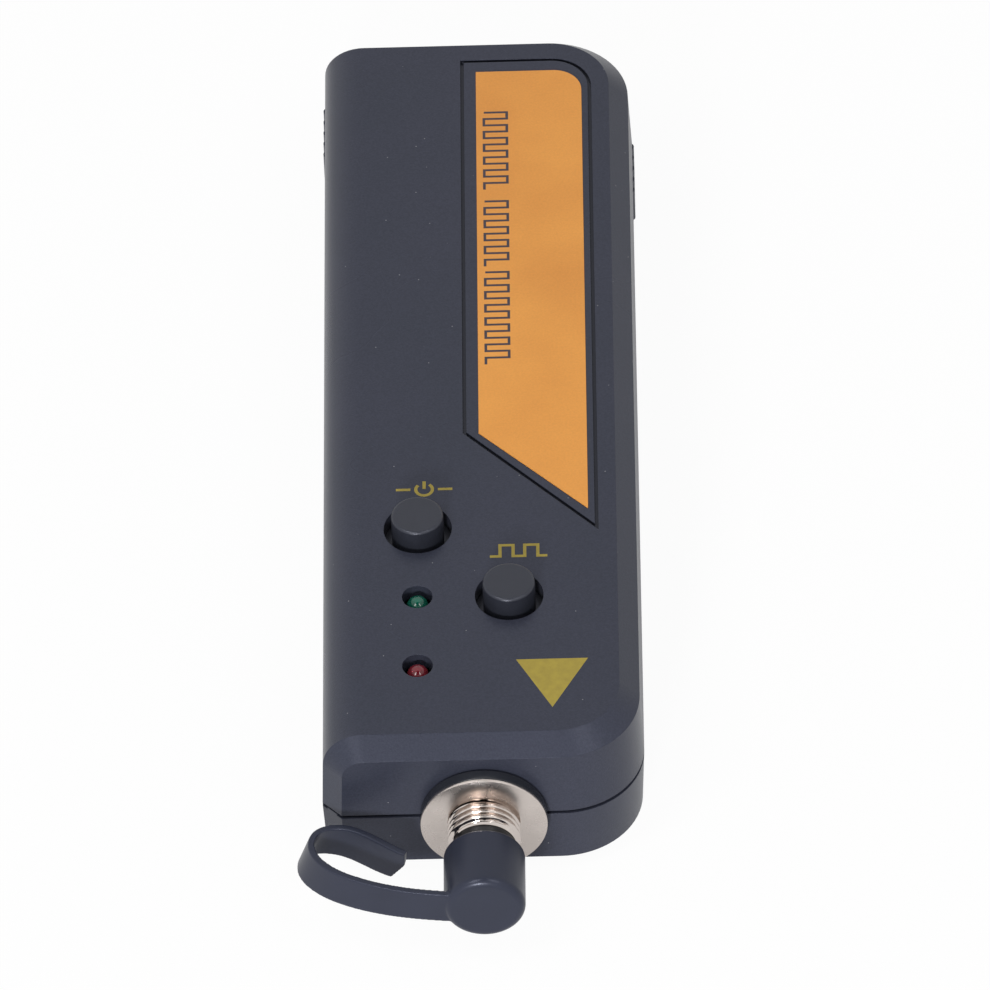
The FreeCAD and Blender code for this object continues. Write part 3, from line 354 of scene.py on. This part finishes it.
# Cast epoxy: a glassy smooth tinted body that lets part of the light through.
LAMP_RADIUS, LAMP_HEIGHT, RIM_RADIUS, RIM_HEIGHT = 1.55 * MM, 5.3 * MM, 1.9 * MM, 1.0 * MM
DOME_STEP, LAMP_SEGMENTS = 3, 96
for lamp, tones, slot in (("power_led", ("#1C7660", "#166350"), "green_epoxy"),
                          ("battery_led", ("#932E3A", "#7E2430"), "red_epoxy")):
    low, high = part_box(lamp)
    centre = ((low.x + high.x) / 2, (low.y + high.y) / 2, high.z)
    epoxy = plain_material(
        "epoxy_cast_" + slot.split("_")[0],
        {"IOR": 1.54, "Roughness": 0.04, "Specular IOR Level": 0.35, "Transmission Weight": 0.35},
        tones, patch=1.2 * MM, grain=0.3 * MM, depth=0.001 * MM)
    dome = [(LAMP_RADIUS * (math.sin(math.radians(turn)) - 1),
             LAMP_RADIUS * math.cos(math.radians(turn))) for turn in range(0, 90, DOME_STEP)]
    profile = [(-LAMP_HEIGHT, 0), (-LAMP_HEIGHT, RIM_RADIUS), (RIM_HEIGHT - LAMP_HEIGHT, RIM_RADIUS),
               (RIM_HEIGHT - LAMP_HEIGHT, LAMP_RADIUS), *dome, (0, 0)]
    bulb = turned(lamp + "_lens", profile, centre, "Z", epoxy, "housing", LAMP_SEGMENTS)
    mesh = bmesh.new()
    x, y, top = centre
    for half, front, rear, foot, head in POST_BOXES:
        bottom = low.z if foot is None else top + foot * MM
        block(mesh, (x - half * MM, y + front * MM, bottom),
              (x + half * MM, y + rear * MM, top + head * MM))
    posts = make_object(lamp + "_posts", mesh, lead_plate)
    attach(posts, "housing")
    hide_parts(lamp)


# ---- Circuit board and its parts ------------------------------------------------------------------
# Glass-cloth laminate under green solder resist, screwed up to three posts of the top shell. The
# driver chip and two rows of chip parts hang from its underside.

# Solder resist is glossy, with the cloth's 0.5 mm weave faint under it. The chip's moulded epoxy is a
# dull black, and the chip parts are small blocks of fired ceramic in brown.
board_resist = plain_material("glass_laminate_green_resist", {"IOR": 1.52, "Roughness": 0.3},
                              ("#1F6B3C", "#1A5A33"), patch=1.6 * MM, grain=0.5 * MM, depth=0.006 * MM)
dress(["circuit_board"], board_resist)
chip_epoxy = plain_material("epoxy_transfer_moulded", {"Roughness": 0.55}, ("#1E1E20", "#29292B"),
                            patch=0.8 * MM, grain=0.1 * MM, depth=0.005 * MM)
dress(["driver_chip"], chip_epoxy)
chip_ceramic = plain_material("ceramic_fired_tinned_ends", {"Roughness": 0.4}, ("#8A7458", "#6E5C47"),
                              patch=0.7 * MM, grain=0.08 * MM, depth=0.004 * MM)
dress(["chip_parts"], chip_ceramic)


# ---- Port: washer, threaded adapter and ferrule guide ----------------------------------------------
# A turned brass adapter with an M10 x 1 thread and a thin flange, nickel plated and polished, stands
# on a black washer. A black acetal guide inside it holds the plain ceramic sleeve for the ferrule.

# Black nylon with a slight sheen and a small radius on its edges.
washer_plastic = plain_material("nylon_washer_black", {"Roughness": 0.22}, ("#25272D", "#2A2C32"),
                                patch=2 * MM, grain=0.12 * MM, depth=0.004 * MM, edge=0.15 * MM)
dress(["nose_collar"], washer_plastic)

# Nickel on turned brass: a warm bright mirror with the tool's fine rings, drawn 0.16 mm apart to show.
# The thread is polished. The flange's face, further from the axis, is satin and blurs what it mirrors.
# A wave texture's rings are 0.314 apart before they are scaled.
nickel, tree, shader, place = start_material("brass_nickel_plated_polished", {"Metallic": 1.0})
mottle(tree, shader, place, ("#CFC6C0", "#C6BDB7"), 4 * MM)
barrel_low, barrel_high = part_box("adapter_barrel")
AXIS_X, AXIS_Z = (barrel_low.x + barrel_high.x) / 2, (barrel_low.z + barrel_high.z) / 2
TOOL_RING, UNSCALED_RING = 0.16 * MM, 0.314
SATIN_FROM, SATIN_TO, SATIN = 5.05 * MM, 5.4 * MM, 0.18
centred = add(tree, "Mapping", {"Location": (-AXIS_X, 0, -AXIS_Z)}, {"Vector": place})
rings = add(tree, "TexWave", {"wave_type": "RINGS", "rings_direction": "Y",
                              "Scale": UNSCALED_RING / TOOL_RING, "Distortion": 0.4},
            {"Vector": centred.outputs["Vector"]})
lines = add(tree, "Bump", {"Strength": 1.0, "Distance": 0.0004 * MM}, {"Height": rings.outputs["Fac"]})
tree.links.new(lines.outputs["Normal"], shader.inputs["Normal"])
gloss = drift(tree, place, 3 * MM, 0.06, 0.12)
across = add(tree, "VectorMath", {"operation": "MULTIPLY", 1: (1, 0, 1)}, {0: centred.outputs["Vector"]})
off_axis = add(tree, "VectorMath", {"operation": "LENGTH"}, {0: across.outputs["Vector"]})
faced = add(tree, "MapRange", {"From Min": SATIN_FROM, "From Max": SATIN_TO, "To Max": SATIN},
            {"Value": off_axis.outputs["Value"]})
satin = add(tree, "Math", {"operation": "ADD"}, {0: gloss, 1: faced.outputs["Result"]})
tree.links.new(satin.outputs["Value"], shader.inputs["Roughness"])

# Crest and flank are shares of half a turn of the thread, and the rest is its root. The first crest is
# turned so that the thread starts on the underside.
PITCH, THREAD_DEPTH, THREAD_RADIUS = 1.0 * MM, 0.55 * MM, 5.0 * MM
CREST_SHARE, FLANK_SHARE, FIRST_CREST, END_CHAMFER = 0.14, 0.66, -0.36, 0.6 * MM
TURN_ROWS, THREAD_SEGMENTS = 20, 160
FLANGE_RADIUS = (barrel_high.x - barrel_low.x) / 2
FLANGE_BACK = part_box("nose_collar")[0].y
FLANGE_FRONT = FLANGE_BACK - 0.5 * MM
FLANGE_EDGE = 0.14 * MM
EDGE_MIDDLE = 0.3 * FLANGE_EDGE
BORE_RADIUS, THINNEST_WALL = 3.52 * MM, 0.5 * MM
THREAD_END = FLANGE_FRONT - 0.15 * MM
NECK_RADIUS = THREAD_RADIUS - THREAD_DEPTH
CLEAR = 0.01 * MM


def thread_radius(distance, radius, angle):
    """Crests follow a right-handed helix; the first turn grows out of the end's chamfer."""
    if abs(radius - THREAD_RADIUS) > CLEAR / 10 or distance > THREAD_END:
        return radius
    phase = (distance / PITCH + angle / (2 * math.pi) + FIRST_CREST) % 1
    flank = min(1, max(0, (abs(2 * phase - 1) - CREST_SHARE) / FLANK_SHARE))
    groove = THREAD_DEPTH * flank * flank * (3 - 2 * flank)
    chamfer = THREAD_RADIUS - END_CHAMFER + (distance - barrel_low.y)
    return min(THREAD_RADIUS - groove, max(chamfer, BORE_RADIUS + THINNEST_WALL))


rows = [(barrel_low.y + step * PITCH / TURN_ROWS, THREAD_RADIUS)
        for step in range(int((THREAD_END - barrel_low.y) / (PITCH / TURN_ROWS)) + 1)]
profile = [(barrel_low.y, BORE_RADIUS), *rows, (THREAD_END + 2 * CLEAR, NECK_RADIUS),
           (FLANGE_FRONT, NECK_RADIUS), (FLANGE_FRONT, FLANGE_RADIUS - FLANGE_EDGE),
           (FLANGE_FRONT + EDGE_MIDDLE, FLANGE_RADIUS - EDGE_MIDDLE),
           (FLANGE_FRONT + FLANGE_EDGE, FLANGE_RADIUS), (FLANGE_BACK - FLANGE_EDGE, FLANGE_RADIUS),
           (FLANGE_BACK, FLANGE_RADIUS - FLANGE_EDGE), (FLANGE_BACK, THREAD_RADIUS + CLEAR),
           (barrel_high.y, THREAD_RADIUS + CLEAR), (barrel_high.y, BORE_RADIUS)]
adapter = turned("threaded_adapter", profile, (AXIS_X, 0, AXIS_Z), "Y", nickel, "housing",
                 THREAD_SEGMENTS, thread_radius)
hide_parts("adapter_barrel")
dress(["barrel_nut"], nickel)

# Turned black acetal is smooth and close to true black. Ground zirconia is an even ivory white.
guide_acetal = plain_material("acetal_turned_black", {"Roughness": 0.3}, ("#101114", "#17181B"),
                              patch=2 * MM, grain=0.1 * MM, depth=0.003 * MM, edge=0.1 * MM)
dress(["ferrule_guide"], guide_acetal)
zirconia = plain_material("zirconia_ground", {"IOR": 2.1, "Roughness": 0.2}, ("#ECE9E0", "#E2DED2"),
                          patch=1.2 * MM, grain=0.08 * MM, depth=0.001 * MM)
dress(["ferrule_sleeve"], zirconia)


# ---- Laser module ----------------------------------------------------------------------------------
# A bare turned brass barrel behind the port holds the laser diode and, in front of it, the small
# glass lens that focuses it onto the ferrule's end.

# Bare brass is yellow with a soft tool finish, the diode's gold flash is brighter, and the lens is
# clear polished glass.
brass = plain_material("brass_turned_bare", {"Metallic": 1.0, "Roughness": 0.26}, ("#C9A55E", "#B8924C"),
                       patch=2.5 * MM, grain=0.15 * MM, depth=0.002 * MM)
dress(["laser_barrel"], brass)
diode_plate = plain_material("steel_gold_flashed", {"Metallic": 1.0, "Roughness": 0.2},
                             ("#D9B66A", "#C9A458"), patch=1.2 * MM, grain=0.1 * MM, depth=0.001 * MM)
dress(["laser_diode"], diode_plate)
lens_glass = plain_material(
    "crown_glass_polished", {"IOR": 1.52, "Roughness": 0.02, "Transmission Weight": 1.0},
    ("#EEF5F4", "#E2EDEC"), patch=1.5 * MM, grain=0.5 * MM, depth=0.0003 * MM)
dress(["focus_lens"], lens_glass)


# ---- Dust cap and strap ----------------------------------------------------------------------------
# One moulding in soft black rubber: a round cap that pushes over the guide, and a flat strap that
# curls round to the left. Its edges are slightly rounded and its skin is smooth and matt.

# Moulded rubber: a soft blue-black whose sheen comes and goes with the bloom on its skin.
rubber, tree, shader, place = start_material("rubber_moulded_matt", {
    "IOR": 1.52, "Specular IOR Level": 0.32, "Specular Tint": linear("#E6EAFF")})
mottle(tree, shader, place, ("#272A36", "#2A2D3A"), 5 * MM)
tree.links.new(drift(tree, place, 6 * MM, 0.26, 0.36), shader.inputs["Roughness"])
roughen(tree, shader, place, 0.3 * MM, 0.006 * MM)

# The solid is meshed anew in 0.12 mm cells and smoothed, which rounds its edges by about as much.
VOXEL, WELD = 0.12 * MM, 0.001 * MM
cap = bpy.data.objects.new("rubber_cap", nodes["dust_cap"].data.copy())
bpy.context.collection.objects.link(cap)
welded = bmesh.new()
welded.from_mesh(cap.data)
bmesh.ops.remove_doubles(welded, verts=welded.verts, dist=WELD)
welded.to_mesh(cap.data)
welded.free()
skin = cap.modifiers.new("skin", "REMESH")
skin.mode = "VOXEL"
skin.voxel_size = VOXEL
soft = cap.modifiers.new("soft", "SMOOTH")
soft.factor = 0.5
soft.iterations = 8
bpy.context.view_layer.update()
cap_mesh = bpy.data.meshes.new_from_object(cap.evaluated_get(bpy.context.evaluated_depsgraph_get()))
cap.modifiers.clear()
cap.data = cap_mesh
cap.data.materials.clear()
cap.data.materials.append(rubber)
for face in cap.data.polygons:
    face.use_smooth = True
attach(cap, "port_cap")
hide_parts("dust_cap")


# ---- Battery bay -----------------------------------------------------------------------------------
# A black ABS tray screwed up under the top shell holds two AA cells side by side between nickelled
# spring contacts. The cells' jackets are plain shrunk film with a pale band at the nub end.

# Unpolished ABS moulding: dull black with a visible grain.
tray_plastic = plain_material("abs_tray_moulded", {"Roughness": 0.45}, ("#1A1B1D", "#222325"),
                              patch=8 * MM, grain=0.25 * MM, depth=0.006 * MM)
dress(["battery_tray"], tray_plastic)

# Shrunk film has an even gloss over printed colour. The flat ends, which face along Y, are bare steel.
BAND, BAND_BLUR, END_BLUR = 9 * MM, 0.05 * MM, 0.1 * MM
for cell, nub_side in (("left_cell", -1), ("right_cell", 1)):
    jacket, tree, shader, place = start_material("film_jacket_" + cell, {"Roughness": 0.3})
    low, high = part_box(cell)
    spot = add(tree, "SeparateXYZ", links={"Vector": place})
    band = (high.y - BAND, high.y) if nub_side > 0 else (low.y, low.y + BAND)
    inside = add(tree, "MapRange", {"From Min": band[0] - BAND_BLUR, "From Max": band[0] + BAND_BLUR},
                 {"Value": spot.outputs["Y"]})
    beyond = add(tree, "MapRange", {"From Min": band[1] + END_BLUR, "From Max": band[1] + 2 * END_BLUR,
                                    "To Min": 1.0, "To Max": 0.0}, {"Value": spot.outputs["Y"]})
    banded = add(tree, "Math", {"operation": "MULTIPLY"},
                 {0: inside.outputs["Result"], 1: beyond.outputs["Result"]})
    tone = mottle(tree, shader, place, ("#35586E", "#2F5066"), 6 * MM)
    paint = add(tree, "Mix", {"data_type": "RGBA", 7: linear("#D9D6CC")},
                {0: banded.outputs["Value"], 6: tone})
    facing = add(tree, "SeparateXYZ", links={"Vector": add(tree, "NewGeometry").outputs["Normal"]})
    flat_end = add(tree, "Math", {"operation": "ABSOLUTE"}, {0: facing.outputs["Y"]})
    bare = add(tree, "Math", {"operation": "GREATER_THAN", 1: 0.5}, {0: flat_end.outputs["Value"]})
    steel = add(tree, "Mix", {"data_type": "RGBA", 7: linear("#B9B8B2")},
                {0: bare.outputs["Value"], 6: paint.outputs[2]})
    tree.links.new(steel.outputs[2], shader.inputs["Base Color"])
    tree.links.new(bare.outputs["Value"], shader.inputs["Metallic"])
    roughen(tree, shader, place, 0.4 * MM, 0.002 * MM)
    dress([cell], jacket)

# Nickelled spring strip: bright, with the faint clouding of barrel plating.
contact_nickel = plain_material("spring_strip_nickelled", {"Metallic": 1.0, "Roughness": 0.25},
                                ("#C9C5BC", "#B9B5AC"), patch=2 * MM, grain=0.12 * MM, depth=0.001 * MM)
dress(["left_contact", "right_contact", "link_plate"], contact_nickel)


# ---- Screws ----------------------------------------------------------------------------------------
# Zinc-plated steel self-tapping screws: four from below through the bottom shell, three up through
# the board and two through the tray. The plating is bright with a faint blue cast.

zinc = plain_material("steel_zinc_plated", {"Metallic": 1.0, "Roughness": 0.28}, ("#B4B8BC", "#9FA3A8"),
                      patch=1.2 * MM, grain=0.1 * MM, depth=0.002 * MM)
dress(["housing_screws", "board_screws", "tray_screws"], zinc)


# ---- Stage: floor, light tent and camera -----------------------------------------------------------
# A white tent with a white floor, two soft boxes over the nose, a small lamp low in front, and a black
# flag between the soft boxes, which draws the dark line down the polished thread.

def card(name, width, depth, place, material):
    """A flat piece of the stage, lying level with its middle here."""
    mesh = bmesh.new()
    bmesh.ops.create_grid(mesh, x_segments=1, y_segments=1, size=0.5)
    bmesh.ops.scale(mesh, vec=(width, depth, 1), verts=mesh.verts)
    piece = make_object(name, mesh, material)
    piece.location = place


def mirrored_rays(tree, path):
    """1 for the rays that metal and glass send on, which see the stage much as the camera does."""
    either = add(tree, "Math", {"operation": "MAXIMUM"},
                 {0: path.outputs["Is Glossy Ray"], 1: path.outputs["Is Transmission Ray"]})
    return either.outputs["Value"]


# White paper. It glows for the camera alone, so that it reads as white and still keeps the object's
# shadow, and in part for metal and glass. It lies a hair below the object's underside.
floor_white, tree, shader, place = start_material("paper_matt_white", {
    "Roughness": 0.9, "Specular IOR Level": 0.2})
mottle(tree, shader, place, ("#F6F6F6", "#F4F4F4"), 60 * MM)
FOR_CAMERA, FOR_METAL = 0.95, 0.4
glow = add(tree, "Emission", {"Color": linear("#FFFFFF"), "Strength": 1.0})
path = add(tree, "LightPath")
some = add(tree, "Math", {"operation": "MULTIPLY", 1: FOR_METAL}, {0: mirrored_rays(tree, path)})
lift = add(tree, "Math", {"operation": "MULTIPLY_ADD", 1: FOR_CAMERA},
           {0: path.outputs["Is Camera Ray"], 2: some.outputs["Value"]})
shown = add(tree, "MixShader", links={0: lift.outputs["Value"], 1: shader.outputs["BSDF"],
                                      2: glow.outputs["Emission"]})
surface = [node for node in tree.nodes if node.type == "OUTPUT_MATERIAL"][0].inputs["Surface"]
tree.links.new(shown.outputs["Shader"], surface)
card("floor", 6.0, 6.0, (0, 0, -0.02 * MM), floor_white)

# Black cloth, which gives the polished metal something dark to mirror.
flag_cloth, tree, shader, place = start_material("cloth_black_matt", {"Roughness": 0.9})
mottle(tree, shader, place, ("#0A0A0A", "#101010"), 20 * MM)
card("flag", 0.5, 1.1, (0, -0.45, 1.12), flag_cloth)

# The tent lights the object softly. The camera, metal and glass see it as plain white.
TENT_LIGHT, TENT_SEEN = 0.35, 1.0
world = bpy.data.worlds.new("light_tent")
bpy.context.scene.world = world
world.use_nodes = True
tree = world.node_tree
tree.nodes.clear()
path = add(tree, "LightPath")
seen = add(tree, "Math", {"operation": "MAXIMUM"},
           {0: path.outputs["Is Camera Ray"], 1: mirrored_rays(tree, path)})
strength = add(tree, "MapRange", {"To Min": TENT_LIGHT, "To Max": TENT_SEEN},
               {"Value": seen.outputs["Value"]})
sky = add(tree, "Background", {"Color": linear("#FFFFFF")}, {"Strength": strength.outputs["Result"]})
add(tree, "OutputWorld", links={"Surface": sky.outputs["Background"]})

# Each lamp has a place, a width and a height in metres, and a power in watts.
LAMPS_AIM = Vector((0, -20 * MM, 12 * MM))
for name, spot, width, height, power in (("soft_box_left", (-0.42, -0.45, 1.05), 0.26, 0.7, 4.8),
                                         ("soft_box_right", (0.42, -0.45, 1.05), 0.26, 0.7, 2.7),
                                         ("soft_box_front", (-0.22, -1.27, 0.43), 0.18, 0.18, 11.4)):
    light = bpy.data.lights.new(name, "AREA")
    light.shape = "RECTANGLE"
    light.size = width
    light.size_y = height
    light.energy = power
    box = bpy.data.objects.new(name, light)
    box.location = spot
    box.rotation_euler = (LAMPS_AIM - box.location).to_track_quat("-Z", "Y").to_euler()
    bpy.context.collection.objects.link(box)

# A long lens from 1.8 m away, looking down over the nose, and turned and rolled by a degree or two.
PITCH_DOWN, TURN, ROLL = math.radians(45.734), math.radians(-1.3019), math.radians(-2.3504)
optics = bpy.data.cameras.new("camera")
optics.lens = 473.1
optics.sensor_width = 36.0
optics.clip_start = 0.05
camera = bpy.data.objects.new("camera", optics)
camera.location = (30.66 * MM, -1275.4 * MM, 1310.56 * MM)
aim = Vector((math.sin(TURN) * math.cos(PITCH_DOWN), math.cos(TURN) * math.cos(PITCH_DOWN),
              -math.sin(PITCH_DOWN)))
turn = aim.to_track_quat("-Z", "Y") @ Quaternion((0, 0, 1), ROLL)
camera.rotation_euler = turn.to_euler()
bpy.context.collection.objects.link(camera)
bpy.context.scene.camera = camera
bpy.context.scene.view_settings.view_transform = "Standard"
